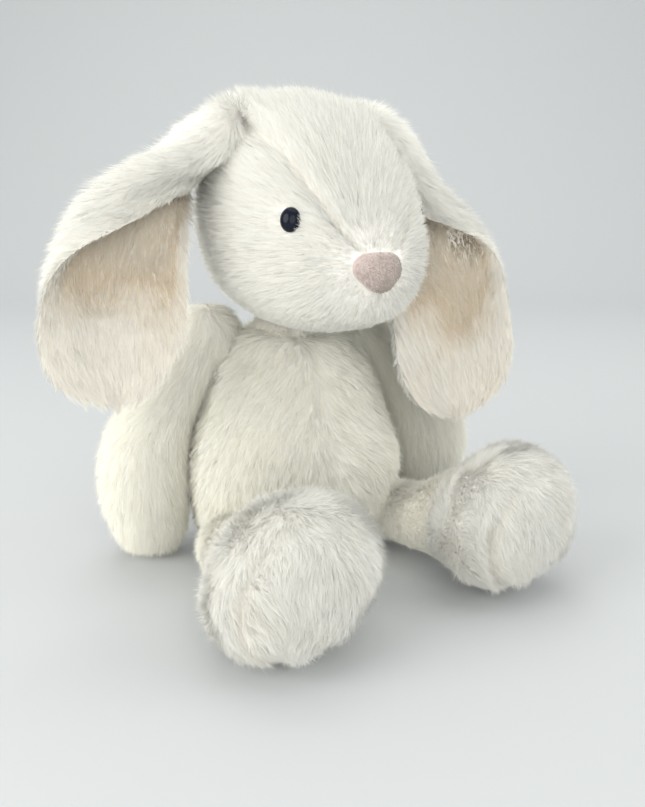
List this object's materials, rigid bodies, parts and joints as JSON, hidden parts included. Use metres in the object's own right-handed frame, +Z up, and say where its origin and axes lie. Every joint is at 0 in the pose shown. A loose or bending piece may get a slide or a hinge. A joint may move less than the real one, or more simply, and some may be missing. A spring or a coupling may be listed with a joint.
{
  "type": "stuffed rabbit",
  "caption": "Seated lop-eared plush rabbit with a jointed head, long hanging ears, soft swinging arms and splayed legs that end in big round feet.",
  "frame": {"origin": "middle of the footprint of the seated toy, on the surface that it sits on", "axes": "+Z up; the rabbit faces -Y, so its own right side is at -X and its tail is towards +Y"},
  "size_m": [0.2236, 0.195, 0.2089],
  "materials": {
    "plush": "long soft cream pile",
    "ear_lining": "shorter soft beige pile",
    "nose_velour": "matt dusty pink velour",
    "filling": "loose polyester fibre",
    "bean_cloth": "plain woven cloth round plastic pellets",
    "eye_plastic": "polished black dome",
    "washer_plastic": "plain moulded"
  },
  "bodies": {
    "torso": {"torso_front_right_panel": "plush", "torso_front_left_panel": "plush", "torso_back_panel": "plush", "seat_panel": "plush", "seat_bean_pouch": "bean_cloth", "torso_stuffing": "filling", "tail_cover": "plush", "tail_stuffing": "filling"},
    "neck": {"neck_stuffing": "filling"},
    "head": {"head_right_panel": "plush", "head_left_panel": "plush", "head_gusset": "plush", "head_stuffing": "filling", "nose": "nose_velour", "eye_right": "eye_plastic", "eye_left": "eye_plastic", "eye_washer_right": "washer_plastic", "eye_washer_left": "washer_plastic"},
    "ear_right": {"ear_right_outer": "plush", "ear_right_lining": "ear_lining"},
    "shoulder_right": {"arm_right_shoulder_stuffing": "filling"},
    "arm_right": {"arm_right_outer_panel": "plush", "arm_right_inner_panel": "plush", "arm_right_stuffing": "filling"},
    "hip_right": {"leg_right_hip_stuffing": "filling"},
    "leg_right": {"leg_right_cover": "plush", "leg_right_stuffing": "filling", "foot_right_upper": "plush", "foot_right_sole": "plush"},
    "ear_left": {"ear_left_outer": "plush", "ear_left_lining": "ear_lining"},
    "shoulder_left": {"arm_left_shoulder_stuffing": "filling"},
    "arm_left": {"arm_left_outer_panel": "plush", "arm_left_inner_panel": "plush", "arm_left_stuffing": "filling"},
    "hip_left": {"leg_left_hip_stuffing": "filling"},
    "leg_left": {"leg_left_cover": "plush", "leg_left_stuffing": "filling", "foot_left_upper": "plush", "foot_left_sole": "plush"}
  },
  "joints": [
    {"name": "head_turn", "type": "hinge", "parent": "torso", "child": "neck", "pos_m": [0.00743, 0.02735, 0.107], "axis": [0, 0, 1], "range_deg": [-30, 20], "stiffness_Nm_per_rad": 0.15},
    {"name": "head_nod", "type": "hinge", "parent": "neck", "child": "head", "pos_m": [0.00743, 0.02735, 0.107], "axis": [1, 0, 0], "range_deg": [-12, 12], "stiffness_Nm_per_rad": 0.5},
    {"name": "ear_right_lift", "type": "hinge", "parent": "head", "child": "ear_right", "pos_m": [-0.02357, 0.01635, 0.2045], "axis": [0, 1, 0], "range_deg": [0, 130]},
    {"name": "ear_left_lift", "type": "hinge", "parent": "head", "child": "ear_left", "pos_m": [0.04243, 0.01435, 0.204], "axis": [0, -1, 0], "range_deg": [0, 130]},
    {"name": "arm_right_spread", "type": "hinge", "parent": "torso", "child": "shoulder_right", "pos_m": [-0.03107, 0.03935, 0.107], "axis": [0, 1, 0], "range_deg": [0, 100], "stiffness_Nm_per_rad": 0.02},
    {"name": "arm_right_swing", "type": "hinge", "parent": "shoulder_right", "child": "arm_right", "pos_m": [-0.03107, 0.03935, 0.107], "axis": [-1, 0, 0], "range_deg": [-40, 22], "stiffness_Nm_per_rad": 0.02},
    {"name": "arm_left_spread", "type": "hinge", "parent": "torso", "child": "shoulder_left", "pos_m": [0.04593, 0.03935, 0.107], "axis": [0, -1, 0], "range_deg": [0, 100], "stiffness_Nm_per_rad": 0.02},
    {"name": "arm_left_swing", "type": "hinge", "parent": "shoulder_left", "child": "arm_left", "pos_m": [0.04593, 0.03935, 0.107], "axis": [-1, 0, 0], "range_deg": [-40, 22], "stiffness_Nm_per_rad": 0.02},
    {"name": "leg_right_splay", "type": "hinge", "parent": "torso", "child": "hip_right", "pos_m": [-0.03457, 0.00335, 0.017], "axis": [0, 0, -1], "range_deg": [-8, 40], "stiffness_Nm_per_rad": 0.05},
    {"name": "leg_right_lift", "type": "hinge", "parent": "hip_right", "child": "leg_right", "pos_m": [-0.03457, 0.00335, 0.017], "axis": [-1, 0, 0], "range_deg": [-60, 24], "stiffness_Nm_per_rad": 0.05},
    {"name": "leg_left_splay", "type": "hinge", "parent": "torso", "child": "hip_left", "pos_m": [0.05143, 0.00835, 0.017], "axis": [0, 0, 1], "range_deg": [-8, 40], "stiffness_Nm_per_rad": 0.05},
    {"name": "leg_left_lift", "type": "hinge", "parent": "hip_left", "child": "leg_left", "pos_m": [0.05143, 0.00835, 0.017], "axis": [-1, 0, 0], "range_deg": [-60, 24], "stiffness_Nm_per_rad": 0.05}
  ]
}
